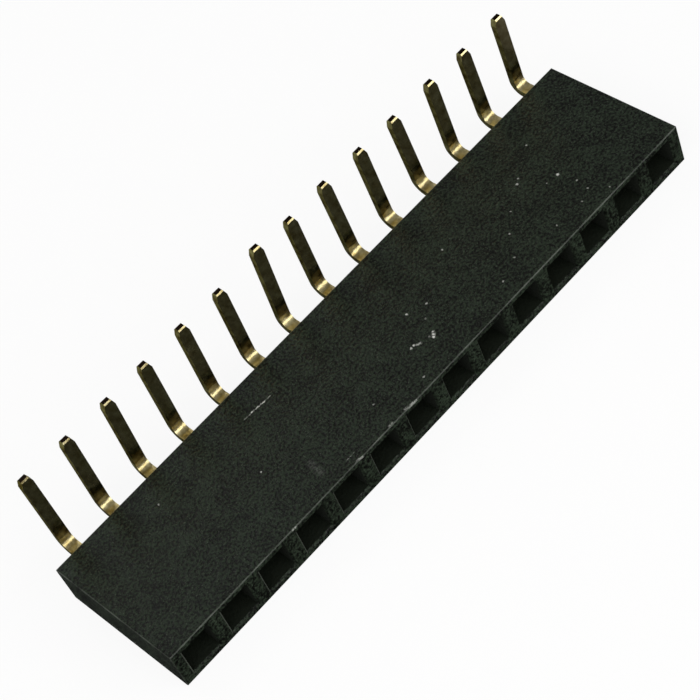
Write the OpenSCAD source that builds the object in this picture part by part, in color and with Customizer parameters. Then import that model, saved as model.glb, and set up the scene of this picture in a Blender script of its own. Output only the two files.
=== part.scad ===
// Right-angle female pin header strip, one row.
//
// A moulded housing holds one formed spring contact at each position. The strip lies on the large
// face that turns away from the circuit board, so the tails that go through the board point up.
// Row coordinates: X runs along the row from its middle, Y is the depth behind the mating face,
// and Z is the height above the face that the strip lies on.

/* [Row] */
// Number of contacts in the row
positions = 14; // [2:1:20]
// Distance from one contact to the next
pitch = 2.54; // [2.4:0.02:3.2]

/* [Housing] */
// Depth of the housing, from its mating face to its back face
housing_depth = 8.3; // [7:0.1:11]
// Thickness of the housing, from its rest face to its board face
housing_thickness = 2.5; // [2.4:0.05:3.2]
// Wall beyond the mouth at each end of the row
end_wall = 0.55; // [0.35:0.05:1]
// Side of the square mouth that a pin goes into
mouth_side = 1.9; // [1.6:0.02:2]
// Width of the bevel round each mouth
lead_in_width = 0.08; // [0.06:0.02:0.16]
// Depth of the bevel round each mouth
lead_in_depth = 0.12; // [0.06:0.02:0.4]
// Radius of the housing's broken edges
edge_radius = 0.1; // [0.04:0.01:0.12]
// Thickness of the back wall below each contact's window
back_wall = 0.9; // [0.7:0.1:1.2]

/* [Spring contact] */
// Thickness of the strip that the spring is formed from
spring_gauge = 0.2; // [0.14:0.01:0.24]
// Height of each spring leaf
leaf_height = 0.9; // [0.6:0.05:1]
// Angle at which the leaves close on the pin
leaf_angle = 11; // [8:0.5:12]
// Angle at which their tips flare to guide the pin in
flare_angle = 26; // [15:1:30]
// Gap between the leaves with no pin between them
leaf_gap = 0.42; // [0.3:0.02:0.56]
// Depth of the leaf tips behind the mating face
tip_depth = 1.7; // [1.6:0.1:2.2]
// Height of the barbs that hold the contact in the housing
barb_height = 0.06; // [0.03:0.01:0.1]

/* [Tails] */
// Width of a tail, along the row
tail_width = 0.66; // [0.5:0.02:0.8]
// Thickness of a tail
tail_thickness = 0.38; // [0.3:0.02:0.46]
// Distance from the back face to the middle of the upright tail
tail_offset = 1.1; // [0.85:0.05:2]
// Height of the tails above the board face
tail_height = 4.7; // [2.5:0.1:6]
// Inside radius of the tail's bend
bend_radius = 0.4; // [0.25:0.05:0.5]
// Length of the taper at the end of a tail
taper_length = 0.4; // [0.2:0.05:0.8]
// Width of a tail's end, as a share of its full width
end_share = 0.6; // [0.3:0.05:0.9]

/* [Hidden] */
$fn = 48;
// Sideways lean of each tail in whole degrees, as the strip was formed, first contact to last
TAIL_LEAN = [0, 1, 2, 1, 1, 1, 3, 0, -1, -1, -2, 0, -1, 0];
// How far each tail ends above the set height, as the strip was cut, first contact to last
TAIL_TRIM = [0.2, 0.1, 0, 0, 0, -0.1, 0.3, 0, 0.1, 0, -0.1, -0.1, -0.2, -0.2];
// Chamfer on the two wide faces where a tail was cut off
cut_chamfer = 0.07;

// Clearance between a contact and the sides of its seat
seat_gap = 0.02;
// Bend radii inside the spring strip: at the foot of a leaf, at its contact point, in the channel
foot_radius = 0.4;
nose_radius = 0.5;
channel_radius = 0.1;
// Flat of a leaf between the channel and its first bend
foot_flat = 0.35;
// Room left between a leaf's tip and the side of the chamber, so that the leaf can open
tip_clearance = 0.15;
// Room left between the channel's side walls and the far wall of the chamber
channel_clearance = 0.3;
// The solid tongue of a contact, between its channel and its shoulders
tongue_length = 0.5;
// How far the leaves and the tongue run into the channel that they are one piece with
root_overlap = 0.2;
// The shoulders that stop a contact against the housing, and the recess that they sit in
shoulder_width = 2.05;
shoulder_depth = 0.35;
recess_depth = 0.4;
// Length of a barb along the contact, and how far it sits in front of the channel's back end
barb_length = 0.35;
barb_setback = 0.4;
// Amount by which a cutting solid runs past the face that it cuts
past = 0.5;

chamber_side = mouth_side - 2 * lead_in_width;
rib_width = pitch - mouth_side;
row_length = positions * pitch - rib_width + 2 * end_wall;
board_wall = (housing_thickness - chamber_side) / 2;
// Height of the chamber's board-side wall, which every contact lies against
seat_z = housing_thickness - board_wall;
chamber_end = housing_depth - back_wall;

channel_width = chamber_side - 2 * seat_gap;
channel_height = chamber_side - channel_clearance;
channel_back = housing_depth - recess_depth - tongue_length;
middle_z = housing_thickness / 2;

// A leaf's path along the middle of its strip, from its foot to its tip: the radii of its two
// bends, its distances from the middle of the chamber, and the flats that join them up.
foot_bend = foot_radius + spring_gauge / 2;
nose_bend = nose_radius + spring_gauge / 2;
foot_x = (channel_width - spring_gauge) / 2;
nose_x = (leaf_gap + spring_gauge) / 2;
tip_x = (chamber_side - spring_gauge * cos(flare_angle)) / 2 - tip_clearance;
closing_flat = (foot_x - nose_x - (foot_bend + nose_bend) * (1 - cos(leaf_angle))) / sin(leaf_angle);
flared_flat = (tip_x - nose_x - nose_bend * (1 - cos(flare_angle))) / sin(flare_angle);
leaf_reach = foot_flat + (foot_bend + nose_bend) * sin(leaf_angle) + closing_flat * cos(leaf_angle)
           + nose_bend * sin(flare_angle) + flared_flat * cos(flare_angle);
channel_front = tip_depth + leaf_reach;
channel_length = channel_back - channel_front;

part_depth = housing_depth + tail_offset + tail_thickness / 2;

function contact_name(i) = str("contact_", i < 9 ? "0" : "", i + 1);
function contact_x(i) = (i - (positions - 1) / 2) * pitch;

// Rectangle from the origin with rounded corners.
module rounded_rectangle(size, radius) {
    difference() {
        square(size);
        for (x = [0, 1], y = [0, 1])
            translate([x * size[0], y * size[1]])
                difference() {
                    square(2 * radius, center = true);
                    translate([(1 - 2 * x) * radius, (1 - 2 * y) * radius]) circle(radius);
                }
    }
}

// Solid extruded along X from an outline drawn in Y and Z.
module along_x(length) {
    translate([-length / 2, 0, 0])
        rotate([90, 0, 90])
            linear_extrude(length) children();
}

// Solid extruded along the depth from an outline drawn in X and Z.
module along_y(front, back) {
    translate([0, back, 0])
        rotate([90, 0, 0])
            linear_extrude(back - front) children();
}

// The outer block, with all its edges broken by one small radius.
module housing_block() {
    intersection() {
        along_x(row_length)
            rounded_rectangle([housing_depth, housing_thickness], edge_radius);
        translate([-row_length / 2, 0, 0])
            linear_extrude(housing_thickness)
                rounded_rectangle([row_length, housing_depth], edge_radius);
        translate([-row_length / 2, 0, 0])
            along_y(0, housing_depth)
                rounded_rectangle([row_length, housing_thickness], edge_radius);
    }
}

// Outline of the bevel from the mouth down to the chamber, continued in front of the face.
module lead_in_outline() {
    slope = lead_in_width / lead_in_depth;
    front = mouth_side / 2 + past * slope;
    back = mouth_side / 2 - lead_in_width;
    polygon([[-front, -past], [front, -past], [back, lead_in_depth], [-back, lead_in_depth]]);
}

// Everything that is open at one position: the bevelled mouth, the chamber that the spring works
// in, the window that the contact is pushed in through, and the seat of its shoulders.
module position_cut() {
    translate([0, 0, middle_z])
        intersection() {
            linear_extrude(3 * mouth_side, center = true) lead_in_outline();
            rotate([0, 90, 0])
                linear_extrude(3 * mouth_side, center = true) lead_in_outline();
        }
    along_y(0, chamber_end)
        translate([-chamber_side / 2, middle_z - chamber_side / 2]) square(chamber_side);
    window_height = channel_height + seat_gap;
    along_y(chamber_end - past, housing_depth + past)
        translate([-chamber_side / 2, seat_z - window_height])
            square([chamber_side, window_height]);
    recess_width = shoulder_width + 2 * seat_gap;
    recess_height = tail_thickness + seat_gap;
    along_y(housing_depth - recess_depth, housing_depth + past)
        translate([-recess_width / 2, seat_z - recess_height])
            square([recess_width, recess_height]);
    barbs();
}

module housing() {
    color("#2b2d2b")
        difference() {
            housing_block();
            for (i = [0:positions - 1])
                translate([contact_x(i), 0, 0]) position_cut();
        }
}

// A strip bent like sheet metal. It starts at the origin along +X, and each step is
// [flat length, bend angle after the flat, inside radius of the bend], with a bend to the left
// positive. The gauge is measured across the strip in the plane of the bends.
module formed_strip(steps, gauge, width, step = 0) {
    flat = steps[step][0];
    angle = steps[step][1];
    radius = steps[step][2];
    side = angle < 0 ? -1 : 1;
    centre = side * (radius + gauge / 2);
    translate([0, -gauge / 2, -width / 2]) cube([flat, gauge, width]);
    if (angle != 0) {
        translate([flat, centre, 0])
            rotate(side > 0 ? -90 : 90 + angle)
                rotate_extrude(angle = abs(angle))
                    translate([radius, -width / 2]) square([gauge, width]);
    }
    if (step < len(steps) - 1) {
        translate([flat, centre, 0])
            rotate(angle)
                translate([0, -centre, 0]) formed_strip(steps, gauge, width, step + 1);
    }
}

// The channel: one flat along the chamber's board-side wall and a wall down each side.
module channel() {
    corner = channel_radius + spring_gauge;
    wall = channel_height - corner;
    web = channel_width - 2 * corner;
    translate([-channel_width / 2 + spring_gauge / 2, channel_front + channel_length / 2,
               seat_z - channel_height])
        rotate([90, -90, 0])
            formed_strip([[wall, -90, channel_radius], [web, -90, channel_radius], [wall, 0, 0]],
                         spring_gauge, channel_length);
}

// One spring leaf, on the side where X is positive. It runs forward from the channel, closes on
// the pin, passes it on the round of its nose and flares out at the tip.
module leaf() {
    translate([foot_x, channel_front + root_overlap, middle_z])
        rotate(-90)
            formed_strip([[root_overlap + foot_flat, -leaf_angle, foot_radius],
                          [closing_flat, leaf_angle + flare_angle, nose_radius],
                          [flared_flat, 0, 0]],
                         spring_gauge, leaf_height);
}

// The two barbs, each a saw tooth that slopes towards the mouth and is square at the back.
module barbs() {
    back = channel_back - barb_setback;
    face = channel_width / 2;
    top = chamber_side / 2 + barb_height;
    translate([0, 0, seat_z - channel_height])
        for (side = [0, 1])
            mirror([side, 0, 0])
                linear_extrude(channel_height - channel_radius - spring_gauge)
                    polygon([[face - spring_gauge / 2, back - barb_length],
                             [face, back - barb_length], [top, back], [face - spring_gauge / 2, back]]);
}

// The flat end of the contact in the back wall: a tongue, shoulders that stop against the floor
// of the recess in the back face, and the root of the tail.
module shoulders() {
    floor_y = housing_depth - recess_depth;
    translate([0, 0, seat_z - tail_thickness])
        linear_extrude(tail_thickness) {
            translate([-channel_width / 2, channel_back - root_overlap])
                square([channel_width, floor_y - channel_back + root_overlap]);
            translate([-shoulder_width / 2, floor_y]) square([shoulder_width, shoulder_depth]);
            translate([-tail_width / 2, floor_y]) square([tail_width, recess_depth]);
        }
}

// Outline of an upright tail: straight sides, then a taper down to the width of its end.
module tapered_outline(width, end_width, length, taper) {
    half = width / 2;
    tip = end_width / 2;
    shank = length - taper;
    polygon([[-half, 0], [half, 0], [half, shank], [tip, length], [-tip, length], [-half, shank]]);
}

// The upright part of a tail, from the origin up. Its end is narrowed so that it finds its hole
// in the board, and the wide faces keep only a small chamfer there.
module upright_tail(length) {
    intersection() {
        translate([0, tail_thickness, 0])
            rotate([90, 0, 0])
                linear_extrude(2 * tail_thickness)
                    tapered_outline(tail_width, end_share * tail_width, length, taper_length);
        along_x(2 * tail_width)
            tapered_outline(tail_thickness, tail_thickness - 2 * cut_chamfer, length, cut_chamfer);
    }
}

// The leg behind the back face, its bend and the upright tail. The lean turns all three about
// the leg's own axis.
module tail(lean, trim) {
    leg_z = seat_z - tail_thickness / 2;
    turn = bend_radius + tail_thickness / 2;
    leg = tail_offset - turn;
    upright = housing_thickness + tail_height + trim - leg_z - turn;
    translate([0, housing_depth, leg_z])
        rotate([0, lean, 0]) {
            rotate([90, 0, 90])
                formed_strip([[leg, 90, bend_radius]], tail_thickness, tail_width);
            translate([0, leg + turn, turn]) upright_tail(upright);
        }
}

module contact(i) {
    color("#c9a24a")
        translate([contact_x(i), 0, 0]) {
            channel();
            for (side = [0, 1])
                mirror([side, 0, 0]) leaf();
            barbs();
            shoulders();
            tail(TAIL_LEAN[i % len(TAIL_LEAN)], TAIL_TRIM[i % len(TAIL_TRIM)]);
        }
}

translate([0, -part_depth / 2, 0]) {
    housing();
    for (i = [0:positions - 1])
        contact(i);
}
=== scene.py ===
# %% [markdown]
# # A female pin header strip
#
# A row of fourteen sockets in a moulded black bar, with fourteen stamped contacts whose tails
# bend upright behind it. The bar lies on its back, so the tails point up.
#
# The shape comes ready from the CAD model. This lesson gives it a place to lie, a camera, light,
# and the two finishes of the real thing: moulded plastic and thin gold on stamped metal.

# %% Load the CAD model
import math

import bpy
from mathutils import Matrix, Vector


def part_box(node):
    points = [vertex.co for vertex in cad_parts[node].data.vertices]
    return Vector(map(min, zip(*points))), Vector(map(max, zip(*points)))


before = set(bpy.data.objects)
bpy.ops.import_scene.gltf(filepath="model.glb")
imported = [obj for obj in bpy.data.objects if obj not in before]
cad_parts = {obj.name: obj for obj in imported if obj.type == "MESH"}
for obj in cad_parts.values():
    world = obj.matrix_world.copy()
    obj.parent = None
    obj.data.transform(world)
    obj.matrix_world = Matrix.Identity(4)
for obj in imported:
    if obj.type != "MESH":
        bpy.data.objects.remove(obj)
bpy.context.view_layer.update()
print("pieces from the CAD model:", len(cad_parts))

# %% [markdown]
# ## Millimetres and colours
#
# Blender counts in metres and this part is a few millimetres thick, so every size below is
# written in millimetres and multiplied by one constant.
#
# A given colour is an sRGB value, such as #2A2D29. The shaders work with linear light,
# where half the light is half the number, so one function turns the first into the second.

# %% Units and colours
MM = 0.001


def linear(hex_colour):
    """The linear red, green, blue and alpha of an sRGB colour."""
    channels = [int(hex_colour[i : i + 2], 16) / 255 for i in (1, 3, 5)]
    return [c / 12.92 if c <= 0.04045 else ((c + 0.055) / 1.055) ** 2.4 for c in channels] + [1.0]


housing_low, housing_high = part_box("housing")
print("moulding, mm:", [round(side / MM, 2) for side in housing_high - housing_low])
print("mid grey #808080 as light:", round(linear("#808080")[0], 3))

# %% [markdown]
# ## The camera
#
# A small part is best seen from a hand's width away through a long lens, which keeps the far end
# of the row nearly as large as the near end. The camera stands in front of the sockets and to
# the left, looks down at just under 50 degrees, and is rolled, so that the strip runs up across
# the picture from corner to corner and fills it.
#
# Three directions fix it: straight ahead to the aim point, a level "right", and "up" square to
# both. The roll then turns right and up together. Three angles would do as well, but directions
# are easier to follow.

# %% Camera: where it stands and looks
camera_place = Vector((-32.32, -63.50, 83.63)) * MM
camera_aim = Vector((-0.91, 0.21, 2.31)) * MM
camera_roll = math.radians(-25.44)

ahead = (camera_aim - camera_place).normalized()
level_right = ahead.cross(Vector((0, 0, 1))).normalized()
level_up = level_right.cross(ahead)
right = math.cos(camera_roll) * level_right + math.sin(camera_roll) * level_up
up = math.cos(camera_roll) * level_up - math.sin(camera_roll) * level_right
print("camera to strip, mm:", round((camera_aim - camera_place).length / MM, 1))
print("looking down, degrees:", round(math.degrees(math.asin(-ahead.z)), 1))

# %% Camera: its lens
camera_data = bpy.data.cameras.new("camera")
camera_data.sensor_width = 36
camera_data.lens = 115.8
camera_data.clip_start = 5 * MM
camera_data.clip_end = 5.0
camera = bpy.data.objects.new("camera", camera_data)
turned = Matrix((right, up, -ahead)).transposed().to_4x4()
camera.matrix_world = Matrix.Translation(camera_place) @ turned
bpy.context.scene.collection.objects.link(camera)
bpy.context.scene.camera = camera
print("angle of view, degrees:", round(math.degrees(camera_data.angle), 1))

# %% [markdown]
# ## Building node by node
#
# A material or a world is a small network of nodes. Making one by hand takes a line to create
# it, a line for each setting and a line for each link. One helper does all of it: give it the
# kind of node, what goes into its sockets and its settings, and it hands the node back.
#
# A socket given as an input becomes a link. A whole node given as an input stands for the first
# output that it has in use. Anything else becomes the socket's own value. A colour ramp is also
# given its stops: each has its place along the ramp and its colour.

# %% A helper that adds a node
def add(tree, kind, inputs=None, stops=(), **settings):
    """A new node of a kind, such as "Math", with its settings, links, values and colour stops."""
    node = tree.nodes.new("ShaderNode" + kind)
    for name, value in settings.items():
        setattr(node, name, value)
    for socket, value in (inputs or {}).items():
        if isinstance(value, bpy.types.Node):
            value = next(output for output in value.outputs if output.enabled)
        if isinstance(value, bpy.types.NodeSocket):
            tree.links.new(value, node.inputs[socket])
        else:
            node.inputs[socket].default_value = value
    for number, (position, hex_colour) in enumerate(stops):
        on_ramp = node.color_ramp.elements
        stop = on_ramp[number] if number < len(on_ramp) else on_ramp.new(position)
        stop.position = position
        stop.color = linear(hex_colour)
    return node


def empty_material(name):
    """A material without nodes, and the tree that its nodes go into."""
    material = bpy.data.materials.new(name)
    material.use_nodes = True
    material.node_tree.nodes.clear()
    return material, material.node_tree


paper, paper_tree = empty_material("white_paper")
print("ready for its nodes:", paper.name)

# %% [markdown]
# ## The table
#
# The strip lies on white paper. Paper is matt, so a plain diffuse shader is what it is, clouded
# by clumps of fibre a couple of millimetres wide. That noise is given no coordinates, so it is
# laid over the whole sheet once, and its scale is the side of the sheet divided by the width of
# a clump.

# %% White paper: the matt sheet
SHEET = 2.4
CLUMP = 2.16
fibres = add(paper_tree, "TexNoise", {"Scale": SHEET / (CLUMP * MM), "Detail": 4.0})
tint = add(
    paper_tree,
    "Mix",
    {"Factor": fibres, "A": linear("#F6F6F5"), "B": linear("#FCFCFB")},
    data_type="RGBA",
)
matt = add(paper_tree, "BsdfDiffuse", {"Color": tint})
print("clumps of fibre along a side of the sheet:", round(SHEET / (CLUMP * MM)))

# %% [markdown]
# ## White background, soft shadow
#
# So that the paper reads as a white background, part of what the camera and the reflections see
# of it is an even glow of strength 1, which is white, and the rest is the real paper, which
# keeps the strip's soft shadow. The glow is only in what is seen: it sends no light onto the
# strip. More light would whiten the paper as well, but it would also grey the black plastic.
#
# What the strip mirrors is mostly the paper right beside it. So mirror images show the glow alone,
# and a painted contact shadow darkens it towards the foot of the strip: the distance to the
# moulding's outline is worked out from the place on the paper, and the glow grows with it over
# 24 mm.

# %% White paper: how far each place is from the moulding
foot_middle = list((housing_low + housing_high) / 2)
foot_half = list((housing_high - housing_low) / 2)
here = add(paper_tree, "NewGeometry").outputs["Position"]
from_middle = add(paper_tree, "VectorMath", {0: here, 1: foot_middle}, operation="SUBTRACT")
each_way = add(paper_tree, "VectorMath", {0: from_middle}, operation="ABSOLUTE")
past_side = add(paper_tree, "VectorMath", {0: each_way, 1: foot_half}, operation="SUBTRACT")
outside = add(paper_tree, "VectorMath", {0: past_side, 1: (0.0, 0.0, 0.0)}, operation="MAXIMUM")
away = add(paper_tree, "VectorMath", {0: outside}, operation="LENGTH")
print("outline of the moulding, mm:", [round(2 * half / MM, 2) for half in foot_half[:2]])

# %% White paper: how bright the glow is, and its painted shadow in mirror images
FADE = 24
GLOW_AT_FOOT = 0.06
seen_by = add(paper_tree, "LightPath")
mirrored = seen_by.outputs["Is Glossy Ray"]
# A painted contact shadow: the mirrored glow darkens near the moulding by distance alone.
glow_with_painted_shadow = add(
    paper_tree,
    "MapRange",
    {"Value": away, "From Min": 0.0, "From Max": FADE * MM, "To Min": GLOW_AT_FOOT, "To Max": 1.0},
    interpolation_type="SMOOTHSTEP",
)
brightness = add(paper_tree, "Mix", {"Factor": mirrored, "A": 1.0, "B": glow_with_painted_shadow}, data_type="FLOAT")
glow = add(paper_tree, "Emission", {"Color": linear("#FFFFFF"), "Strength": brightness})
print("mirrored glow at the foot of the strip:", GLOW_AT_FOOT, "and full from", FADE, "mm on")

# %% White paper: who sees the glow
GLOW_SHARE = 0.88
direct = seen_by.outputs["Is Camera Ray"]
through = seen_by.outputs["Is Transmission Ray"]
seen = add(paper_tree, "Math", {0: direct, 1: mirrored}, operation="ADD")
seen = add(paper_tree, "Math", {0: seen, 1: through}, operation="ADD")
share = add(paper_tree, "Math", {0: seen, 1: GLOW_SHARE}, operation="MULTIPLY", use_clamp=True)
share = add(paper_tree, "Math", {0: share, 1: mirrored}, operation="MAXIMUM")
blend = add(paper_tree, "MixShader", {0: share, 1: matt, 2: glow})
add(paper_tree, "OutputMaterial", {"Surface": blend})
print("share of glow in what the camera sees of the paper:", GLOW_SHARE)

# %% The sheet itself
bpy.ops.mesh.primitive_plane_add(size=SHEET, location=(0, 0, 0))
table = bpy.context.object
table.name = "table"
table.data.materials.append(paper)
print("table, m:", round(table.dimensions.x, 2))

# %% [markdown]
# ## The room
#
# A small shiny part is lit as much by what it mirrors as by the lamps. The room is a soft grey
# dome, pale near the table and dimmer overhead, so that the flat black face stays black. It is
# a gradient on the height of the direction looked in: 0 is the horizon, 1 straight up.

# %% The room
room = bpy.data.worlds.new("studio")
room.use_nodes = True
room.node_tree.nodes.clear()
room_tree = room.node_tree
direction = add(room_tree, "TexCoord").outputs["Generated"]
upwards = add(room_tree, "SeparateXYZ", {0: direction}).outputs["Z"]
dome_stops = [(0.0, "#F2F2F2"), (0.3, "#B8B8B8"), (0.7, "#868686")]
dome = add(room_tree, "ValToRGB", {"Fac": upwards}, stops=dome_stops)
sky = add(room_tree, "Background", {"Color": dome, "Strength": 1.0})
add(room_tree, "OutputWorld", {"Surface": sky})
bpy.context.scene.world = room
print("greys of the dome, from the horizon up:", [grey for _, grey in dome_stops])

# %% [markdown]
# ## The lamps
#
# A low, wide softbox in front gives the bright streak in every bent leg. A softbox over the left
# shoulder lights the black plastic evenly, from where nothing flat mirrors it. A small one
# behind brings up the grain of the flat face and lays the soft shadow of every tail on it.

# %% Softboxes
def softbox(name, towards, distance, width, height, watts):
    """A lamp of width by height mm, distance mm from the strip in a direction, facing it."""
    lamp = bpy.data.lights.new(name, "AREA")
    lamp.shape = "RECTANGLE"
    lamp.size = width * MM
    lamp.size_y = height * MM
    lamp.energy = watts
    box = bpy.data.objects.new(name, lamp)
    place = Vector(towards).normalized() * distance * MM
    box.location = place
    box.rotation_mode = "QUATERNION"
    box.rotation_quaternion = place.to_track_quat("Z", "Y")
    box.visible_camera = False
    bpy.context.scene.collection.objects.link(box)
    print(name, "watts", watts)


softbox("front_softbox", (0.29, -0.86, 0.36), distance=320, width=420, height=220, watts=0.9)
softbox("shoulder_softbox", (-0.65, -0.30, 0.70), distance=340, width=300, height=300, watts=0.62)
softbox("back_softbox", (0.05, 0.62, 0.78), distance=320, width=100, height=100, watts=0.08)

# %% [markdown]
# ## The moulding: black glass-filled PBT
#
# The bar is injection moulded in PBT, a polyester filled with short glass fibres, coloured with
# carbon black. The steel mould was spark eroded, which leaves a fine sandy grain, so the face is
# neither matt nor glossy. Up close it is a very dark grey with a slight green cast, mottled
# where fibres lie just under the skin.
#
# The mottle and the grain could be painted images, but noise in real millimetres stays sharp at
# any distance and has no seams. The object coordinates are metres, so they are first divided
# by one millimetre: from here a noise scale is simply "how many per millimetre".

# %% Plastic: coordinates in millimetres
plastic, plastic_tree = empty_material("moulded_glass_filled_PBT")
in_metres = add(plastic_tree, "TexCoord").outputs["Object"]
in_mm = add(plastic_tree, "VectorMath", {0: in_metres, "Scale": 1 / MM}, operation="SCALE")
axes = add(plastic_tree, "SeparateXYZ", {0: in_mm}).outputs
print("coordinates are multiplied by", round(1 / MM))

# %% Plastic: grain and clouding
GRAIN = 0.14
CLOUD = 1.3
GRAIN_SHARE = 0.75
grain = add(
    plastic_tree, "TexNoise", {"Vector": in_mm, "Scale": 1 / GRAIN, "Detail": 1.0, "Roughness": 0.6}
)
cloud = add(plastic_tree, "TexNoise", {"Vector": in_mm, "Scale": 1 / CLOUD, "Detail": 2.0})
grainy = add(plastic_tree, "Math", {0: grain, 1: GRAIN_SHARE}, operation="MULTIPLY")
mottle = add(
    plastic_tree, "Math", {0: cloud, 1: 1 - GRAIN_SHARE, 2: grainy}, operation="MULTIPLY_ADD"
)
mottled = add(
    plastic_tree, "ValToRGB", {"Fac": mottle}, stops=[(0.41, "#030402"), (0.61, "#222B20")]
)
print("grain, mm:", GRAIN, " clouding, mm:", CLOUD)

# %% Plastic: fibre ends that show pale
# The glass fibres are about 0.01 mm thick, too fine to show, so their ends are drawn coarser.
FLECK = 0.06
fleck = add(plastic_tree, "TexNoise", {"Vector": in_mm, "Scale": 1 / FLECK, "Detail": 1.0})
fleck = add(
    plastic_tree,
    "MapRange",
    {"Value": fleck, "From Min": 0.62, "From Max": 0.76, "To Min": 0.0, "To Max": 0.26},
)
flecked = add(
    plastic_tree, "Mix", {"Factor": fleck, "A": mottled, "B": linear("#6A7364")}, data_type="RGBA"
)
print("flecks, mm:", FLECK)

# %% [markdown]
# ## Specks, scratches and scuffs
#
# This strip has been handled. Pale dust and crumbs of fibre sit on the face, there is one long
# scratch near the tails, and the front edge is scuffed pale in places.
#
# A speck is everything nearer than its radius to its own centre. A longer mark is drawn as a
# short stroke: the coordinates are moved and turned so that the stroke lies along the first
# axis. How far a point lies past its end and how far beside it then give the distance.
#
# Either mark is fully pale in its core and fades out to its rim, both a share of its width or
# radius. Before any of it, a fine noise pushes the coordinates about by a few hundredths of a
# millimetre, which makes every outline ragged.

# %% Plastic: ragged coordinates
RAGGED = 0.09
PUSH = 0.12
ragged = add(plastic_tree, "TexNoise", {"Vector": in_mm, "Scale": 1 / RAGGED, "Detail": 2.0})
ragged = ragged.outputs["Color"]
# The noise is 0.5 on average, and with that taken off it pushes both ways.
ragged = add(plastic_tree, "VectorMath", {0: ragged, 1: (0.5, 0.5, 0.5)}, operation="SUBTRACT")
ragged = add(plastic_tree, "VectorMath", {0: ragged, "Scale": PUSH}, operation="SCALE")
wobbled = add(plastic_tree, "VectorMath", {0: in_mm, 1: ragged}, operation="ADD")
FACE_Z = housing_high.z / MM
print("board face, mm above the table:", round(FACE_Z, 2))

# %% Plastic: gaps in the long marks
GAP = 0.11
broken = add(plastic_tree, "TexNoise", {"Vector": in_mm, "Scale": 1 / GAP, "Detail": 2.0})
broken = add(
    plastic_tree,
    "MapRange",
    {"Value": broken, "From Min": 0.4, "From Max": 0.6, "To Min": 0.1, "To Max": 1.0},
)
print("gaps along a scratch, mm:", GAP)


# %% Plastic: how a long mark is drawn
STROKE_CORE = 0.25
STROKE_RIM = 0.75


def stroke(start, end, width, paleness):
    """How pale a straight mark leaves each point: paleness on its line, 0 off it, in mm."""
    (x0, y0), (x1, y1) = start, end
    half_length = math.hypot(x1 - x0, y1 - y0) / 2
    middle = ((x0 + x1) / 2, (y0 + y1) / 2, FACE_Z)
    turn = (0, 0, math.atan2(y1 - y0, x1 - x0))
    moved = {"Vector": wobbled, "Location": middle, "Rotation": turn}
    local = add(plastic_tree, "Mapping", moved, vector_type="TEXTURE")
    along, across, _ = add(plastic_tree, "SeparateXYZ", {0: local}).outputs
    along = add(plastic_tree, "Math", {0: along}, operation="ABSOLUTE")
    past_end = add(plastic_tree, "Math", {0: along, 1: half_length}, operation="SUBTRACT")
    past_end = add(plastic_tree, "Math", {0: past_end, 1: 0.0}, operation="MAXIMUM")
    apart = add(plastic_tree, "CombineXYZ", {0: past_end, 1: across})
    apart = add(plastic_tree, "VectorMath", {0: apart}, operation="LENGTH")
    core, rim = STROKE_CORE * width, STROKE_RIM * width
    fading = {"From Min": core, "From Max": rim, "To Min": paleness, "To Max": 0.0}
    pale = add(plastic_tree, "MapRange", {"Value": apart, **fading})
    return add(plastic_tree, "Math", {0: pale, 1: broken}, operation="MULTIPLY")


long_scratch = [
    stroke((-6.8, 1.7), (-5.1, 1.6), width=0.05, paleness=0.45),
    stroke((-6.3, 1.7), (-5.5, 1.6), width=0.06, paleness=1.3),
]
print("strokes in the long scratch:", len(long_scratch))

# %% Plastic: the other long marks, each start, end, width and paleness
STROKES = [
    ((-5.8, -4.3), (-5.2, -4.3), 0.04, 0.35),
    ((-6.8, -2.9), (-6.9, -3.7), 0.34, 0.07),
    ((2.0, -2.8), (1.8, -3.0), 0.14, 1.3),
    ((1.0, -2.6), (1.2, -2.7), 0.13, 0.55),
    ((-2.1, -4.7), (-1.4, -4.8), 0.10, 0.35),
    ((-3.2, -4.7), (-3.0, -4.7), 0.09, 0.35),
    ((-5.5, -4.7), (-5.1, -4.8), 0.07, 0.30),
    ((-9.9, -4.8), (-9.7, -4.8), 0.08, 0.35),
]
long_marks = long_scratch + [stroke(*line) for line in STROKES]
print("long marks:", len(long_marks))


# %% Plastic: how a speck is drawn
SPECK_CORE = 0.5
SPECK_RIM = 1.3


def speck(x, y, radius, paleness):
    """How pale a round crumb leaves each point of the board face, in mm."""
    apart = add(plastic_tree, "VectorMath", {0: wobbled, 1: (x, y, FACE_Z)}, operation="DISTANCE")
    core, rim = SPECK_CORE * radius, SPECK_RIM * radius
    fading = {"From Min": core, "From Max": rim, "To Min": paleness, "To Max": 0.0}
    return add(plastic_tree, "MapRange", {"Value": apart, **fading})


# Each speck's place along and across the face, its radius and its paleness.
SPECKS = [
    (0.9, -2.5, 0.06, 0.9), (0.7, -2.5, 0.07, 0.9), (2.1, -0.9, 0.07, 0.8),
    (3.1, -1.3, 0.06, 0.6), (2.4, -1.9, 0.06, 0.2), (1.7, -2.8, 0.06, 0.25),
    (6.0, 0.3, 0.06, 0.55), (11.1, -0.2, 0.07, 0.65), (11.4, 0.0, 0.05, 0.5),
    (8.5, -2.0, 0.05, 0.5), (9.6, -1.1, 0.04, 0.45), (10.1, -3.7, 0.05, 0.5),
    (7.5, -3.2, 0.05, 0.45), (6.1, -3.7, 0.06, 0.5), (-0.2, -4.2, 0.06, 0.5),
    (-2.7, -3.2, 0.05, 0.4), (-8.5, -1.2, 0.05, 0.7), (-12.6, 1.8, 0.05, 0.4),
    (13.3, 1.1, 0.05, 0.5), (12.6, -1.6, 0.08, 0.85), (11.9, -1.5, 0.04, 0.45),
    (12.8, -2.7, 0.05, 0.5), (12.7, -3.5, 0.05, 0.55), (13.3, -4.4, 0.05, 0.5),
    (11.9, -3.8, 0.04, 0.45),
]
marks = long_marks + [speck(*crumb) for crumb in SPECKS]
print("long marks and specks:", len(marks))

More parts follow.
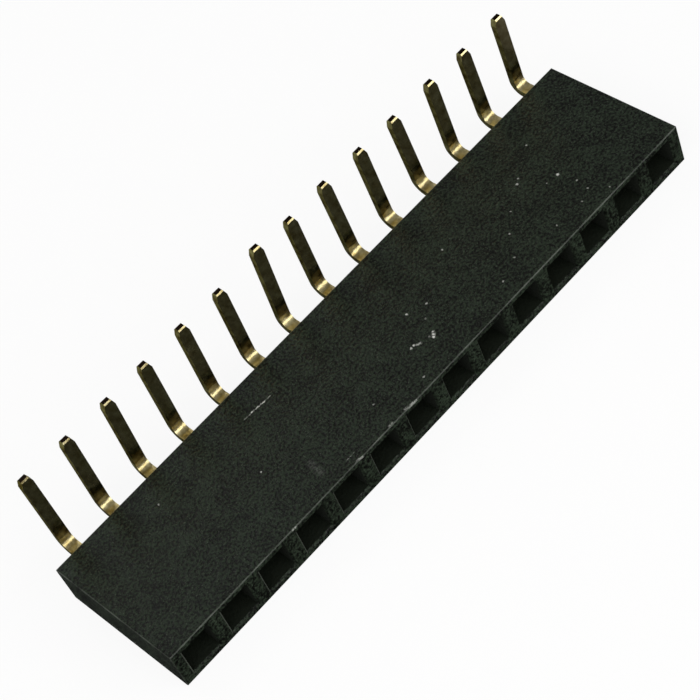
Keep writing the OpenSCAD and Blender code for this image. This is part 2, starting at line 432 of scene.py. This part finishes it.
# %% Plastic: the marks together, on the board face only
FACE_DEPTH = 0.1
marked = marks[0]
for mark in marks[1:]:
    marked = add(plastic_tree, "Math", {0: marked, 1: mark}, operation="MAXIMUM")
on_face = add(plastic_tree, "Math", {0: axes["Z"], 1: FACE_Z - FACE_DEPTH}, operation="GREATER_THAN")
marked = add(plastic_tree, "Math", {0: marked, 1: on_face}, operation="MULTIPLY")
print("marks reach down to, mm above the table:", round(FACE_Z - FACE_DEPTH, 2))

# %% [markdown]
# ## Inside the sockets
#
# The chambers were formed by polished steel cores, so their walls are smooth and plain black,
# without the sandy grain of the outer faces. They are known by where they are: more than a
# tenth of a millimetre behind the mating face and well inside the outer walls.

# %% Plastic: where the chambers are
lowest, highest = housing_low / MM, housing_high / MM
MOUTH = 0.14
BACK_WALL = 0.3
END_WALL = 0.3
FLOOR_WALL = 0.15


def between(axis, start, stop):
    """1 where the place along one axis is past start and before stop, in mm."""
    past = add(plastic_tree, "Math", {0: axes[axis], 1: start}, operation="GREATER_THAN")
    before = add(plastic_tree, "Math", {0: axes[axis], 1: stop}, operation="LESS_THAN")
    return add(plastic_tree, "Math", {0: past, 1: before}, operation="MULTIPLY")


inner_x = between("X", lowest.x + END_WALL, highest.x - END_WALL)
inner_z = between("Z", FLOOR_WALL, FACE_Z - FLOOR_WALL)
inner_y = between("Y", lowest.y + MOUTH, highest.y - BACK_WALL)
print("chambers start, mm behind the mating face:", MOUTH)

# %% Plastic: smooth black in the chambers
socket_zone = add(plastic_tree, "Math", {0: inner_x, 1: inner_z}, operation="MULTIPLY")
chamber = add(plastic_tree, "Math", {0: socket_zone, 1: inner_y}, operation="MULTIPLY")
walled = add(
    plastic_tree, "Mix", {"Factor": chamber, "A": flecked, "B": linear("#1A1E18")}, data_type="RGBA"
)
print("nodes in the plastic so far:", len(plastic_tree.nodes))

# %% [markdown]
# ## Worn edges, and painted highlights at the mouths
#
# Handling polishes the rounded edges of a moulding first: the black there goes grey. A flat face
# looks straight along one axis, and only a rounded edge or a bevel looks between two, so the
# largest part of its direction is well under 1. The wear is patchy: it comes and goes with the
# clouding.
#
# The bevels of the mouths lie in from the edges and keep their black, but for a painted highlight
# along the left side of each, on the bevel that faces to the right.

# %% Plastic: edges, by the way the surface faces
facing = add(plastic_tree, "NewGeometry").outputs["Normal"]
squarely = add(plastic_tree, "VectorMath", {0: facing}, operation="ABSOLUTE")
squarely = add(plastic_tree, "SeparateXYZ", {0: squarely}).outputs
largest = add(plastic_tree, "Math", {0: squarely["Y"], 1: squarely["Z"]}, operation="MAXIMUM")
largest = add(plastic_tree, "Math", {0: squarely["X"], 1: largest}, operation="MAXIMUM")
edge = add(
    plastic_tree,
    "MapRange",
    {"Value": largest, "From Min": 0.95, "From Max": 0.80, "To Min": 0.0, "To Max": 1.0},
)
print("largest part of a 45 degree bevel's direction:", round(math.cos(math.radians(45)), 2))

# %% Plastic: wear outside, painted highlights at the mouths
patchy = add(
    plastic_tree,
    "MapRange",
    {"Value": cloud, "From Min": 0.35, "From Max": 0.65, "To Min": 0.15, "To Max": 0.8},
)
rubbed = add(plastic_tree, "Math", {0: edge, 1: patchy}, operation="MULTIPLY")
signed = add(plastic_tree, "SeparateXYZ", {0: facing}).outputs
# Painted highlight: the mouth bevels that face to the right are coloured pale grey, as if lit from
# the right.
painted_bevel_highlight = add(
    plastic_tree,
    "MapRange",
    {"Value": signed["X"], "From Min": 0.5, "From Max": 0.65, "To Min": 0.0, "To Max": 1.0},
)
painted_bevel_highlight = add(plastic_tree, "Math", {0: painted_bevel_highlight, 1: edge}, operation="MULTIPLY")
wear_and_bevel_highlight = add(plastic_tree, "Mix", {"Factor": socket_zone, "A": rubbed, "B": painted_bevel_highlight}, data_type="FLOAT")
print("nodes in the plastic so far:", len(plastic_tree.nodes))

# %% [markdown]
# ## The plastic put together
#
# The colours are laid over each other in this order: the moulded skin, then the wear and the
# painted highlights on the mouths' bevels, then the dust and scratches.
#
# Moulded PBT has an IOR near 1.5, and a half matt moulding a roughness near 0.35, which changes
# here with the grain. The grain also breaks up the sheen, so the specular level is low, and it is
# a bump of a few hundredths of a millimetre. The two end faces were cut from a longer bar and
# are duller than the moulded ones.

# %% Plastic: all colours
# The grey is edge wear on the outer edges and a painted highlight on the mouths' bevels.
edged = add(
    plastic_tree, "Mix", {"Factor": wear_and_bevel_highlight, "A": walled, "B": linear("#4C5049")}, data_type="RGBA"
)
skin_colour = add(
    plastic_tree, "Mix", {"Factor": marked, "A": edged, "B": linear("#C4C5BE")}, data_type="RGBA"
)
print("nodes in the plastic so far:", len(plastic_tree.nodes))

# %% Plastic: sheen and bumps
GRAIN_DEPTH = 0.045
cut_end = add(
    plastic_tree,
    "MapRange",
    {"Value": squarely["X"], "From Min": 0.8, "From Max": 0.95, "To Min": 0.0, "To Max": 0.55},
)
sheen_spread = add(
    plastic_tree,
    "MapRange",
    {"Value": grain, "From Min": 0.3, "From Max": 0.7, "To Min": 0.28, "To Max": 0.42},
)
dullness = add(plastic_tree, "Math", {0: sheen_spread, 1: cut_end}, operation="ADD")
bumps = add(plastic_tree, "Bump", {"Strength": 0.8, "Distance": GRAIN_DEPTH * MM, "Height": grain})
print("depth of the grain, mm:", GRAIN_DEPTH)

# %% Plastic: shader
skin = add(
    plastic_tree,
    "BsdfPrincipled",
    {
        "Base Color": skin_colour,
        "Roughness": dullness,
        "IOR": 1.5,
        "Specular IOR Level": 0.15,
        "Normal": bumps,
    },
)
add(plastic_tree, "OutputMaterial", {"Surface": skin})
print("nodes in the plastic:", len(plastic_tree.nodes))

# %% [markdown]
# ## The contacts: gold flashed copper alloy
#
# Each contact is stamped from strip, folded and plated with a few hundredths of a micron of
# gold. The flat faces took the roller's polish and mirror what is near them, blotched where the
# gold is thinner. The edges were sheared by the die, so they are rougher, and the gold on them
# is thin and mottled with brown and olive.
#
# One metal shader does both. The sheared sides are known by the way they face, along the row,
# so the dull finish stays on them from wherever they are seen. Polished plate has a roughness of
# 0.1 to 0.2, and the sheared sides are 0.3 rougher.

# %% Gold: place and facing
gold, gold_tree = empty_material("gold_flashed_copper_alloy")
on_metal = add(gold_tree, "TexCoord").outputs["Object"]
on_metal = add(gold_tree, "VectorMath", {0: on_metal, "Scale": 1 / MM}, operation="SCALE")
metal_facing = add(gold_tree, "NewGeometry").outputs["Normal"]
metal_facing = add(gold_tree, "VectorMath", {0: metal_facing}, operation="ABSOLUTE")
metal_facing = add(gold_tree, "SeparateXYZ", {0: metal_facing}).outputs
sheared = add(
    gold_tree,
    "MapRange",
    {"Value": metal_facing["X"], "From Min": 0.6, "From Max": 0.85, "To Min": 0.0, "To Max": 1.0},
)
print("contacts to plate:", sum(name.startswith("contact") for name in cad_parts))

# %% Gold: tone of the faces and of the sheared sides
BLOTCH = 0.4
stain = add(
    gold_tree,
    "TexNoise",
    {"Vector": on_metal, "Scale": 1 / BLOTCH, "Detail": 4.0, "Roughness": 0.6},
)
face_tone = add(gold_tree, "ValToRGB", {"Fac": stain}, stops=[(0.3, "#9E8B56"), (0.7, "#DCD1A4")])
how_olive = add(
    gold_tree,
    "MapRange",
    {"Value": stain, "From Min": 0.35, "From Max": 0.65, "To Min": 0.0, "To Max": 1.0},
)
brown_and_olive = {"Factor": how_olive, "A": linear("#4E452C"), "B": linear("#8D8A5C")}
side_tone = add(gold_tree, "Mix", brown_and_olive, data_type="RGBA")
tone = add(gold_tree, "Mix", {"Factor": sheared, "A": face_tone, "B": side_tone}, data_type="RGBA")
print("blotches of the gold, mm:", BLOTCH)

# %% [markdown]
# ## Cut tips
#
# The very ends of the tails are coloured dark brown, near black. A tip is both high up and facing
# straight up. Neither alone would do: other places face up too, and the polished faces of the tail
# reach just as high.

# %% Gold: the cut tips
TIP_LEVEL = 6.6
height = add(gold_tree, "SeparateXYZ", {0: on_metal}).outputs["Z"]
at_tip = add(gold_tree, "Math", {0: height, 1: TIP_LEVEL}, operation="GREATER_THAN")
cut_tip = add(
    gold_tree,
    "MapRange",
    {"Value": metal_facing["Z"], "From Min": 0.85, "From Max": 0.95, "To Min": 0.0, "To Max": 1.0},
)
cut_tip = add(gold_tree, "Math", {0: cut_tip, 1: at_tip}, operation="MULTIPLY")
# The tips are coloured dark brown, near black.
dark_tip_colour = {"Factor": cut_tip, "A": tone, "B": linear("#1E1711")}
tone = add(gold_tree, "Mix", dark_tip_colour, data_type="RGBA")
print("tips are higher than, mm:", TIP_LEVEL)

# %% [markdown]
# ## The bend
#
# The tail was bent upright after stamping. The metal stretched there: its skin puckered and
# went dull, so the bend scatters what the flat faces mirror. Everything lower than the upright
# part of the tail gets this finish, also the contact inside the housing, where it hardly shows.
# A finer unevenness left by the rollers lies over the whole contact as a much shallower bump.

# %% Gold: polish, and the dull bend
UPRIGHT_FROM = 2.8
BENT_BELOW = 2.6
CUT_ROUGHER = 0.3
polish = add(
    gold_tree,
    "MapRange",
    {"Value": stain, "From Min": 0.3, "From Max": 0.7, "To Min": 0.1, "To Max": 0.2},
)
bend_levels = {"From Min": UPRIGHT_FROM, "From Max": BENT_BELOW, "To Min": 0.0, "To Max": 0.2}
bent = add(gold_tree, "MapRange", {"Value": height, **bend_levels})
polish = add(gold_tree, "Math", {0: polish, 1: bent}, operation="ADD")
rough_cut = add(gold_tree, "Math", {0: sheared, 1: cut_tip}, operation="MAXIMUM")
dull = add(gold_tree, "Math", {0: rough_cut, 1: CUT_ROUGHER, 2: polish}, operation="MULTIPLY_ADD")
print("tails are upright from, mm:", UPRIGHT_FROM)

# %% Gold: pucker and the rollers' unevenness
# What the rollers leave is much finer than this and wouldn't show, so it is drawn coarser.
ROLLED = 0.12
PUCKER = 0.25
PUCKER_OVER_ROLLED = 80.0
ROLLED_DEPTH = 0.004
rolled = add(gold_tree, "TexNoise", {"Vector": on_metal, "Scale": 1 / ROLLED, "Detail": 3.0})
pucker = add(gold_tree, "TexNoise", {"Vector": on_metal, "Scale": 1 / PUCKER, "Detail": 1.0})
pucker = add(gold_tree, "Math", {0: pucker, 1: bent}, operation="MULTIPLY")
both = {0: pucker, 1: PUCKER_OVER_ROLLED, 2: rolled}
relief = add(gold_tree, "Math", both, operation="MULTIPLY_ADD")
metal_bumps = add(
    gold_tree, "Bump", {"Strength": 0.4, "Distance": ROLLED_DEPTH * MM, "Height": relief}
)
print("pucker, mm:", PUCKER, " unevenness from rolling, mm:", ROLLED)

# %% [markdown]
# ## The metal put together
#
# A metal's colour is the colour of what it mirrors straight on. Seen at a slant, a clean metal
# mirrors nearly white. On this thin, stained plate the specular tint holds that back.

# %% Gold: shader
metal = add(
    gold_tree,
    "BsdfPrincipled",
    {
        "Base Color": tone,
        "Metallic": 1.0,
        "Roughness": dull,
        "Specular Tint": linear("#B0AC92"),
        "Normal": metal_bumps,
    },
)
add(gold_tree, "OutputMaterial", {"Surface": metal})
print("nodes in the gold:", len(gold_tree.nodes))

# %% [markdown]
# ## Each piece its finish
#
# The strip is one moulding and fourteen contacts, so two materials dress it all. Both work from
# the coordinates of the whole strip, so no two contacts get the same stains.

# %% Give each piece its finish
for name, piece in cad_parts.items():
    finish = plastic if name == "housing" else gold
    piece.data.materials.clear()
    piece.data.materials.append(finish)
print("plastic on 1 piece, gold on", len(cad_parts) - 1)

# %% [markdown]
# ## Colour as written
#
# The Standard view shows a colour as it was written, where Blender's usual view would soften it.

# %% Colour as written
bpy.context.scene.view_settings.view_transform = "Standard"
print("view:", bpy.context.scene.view_settings.view_transform)
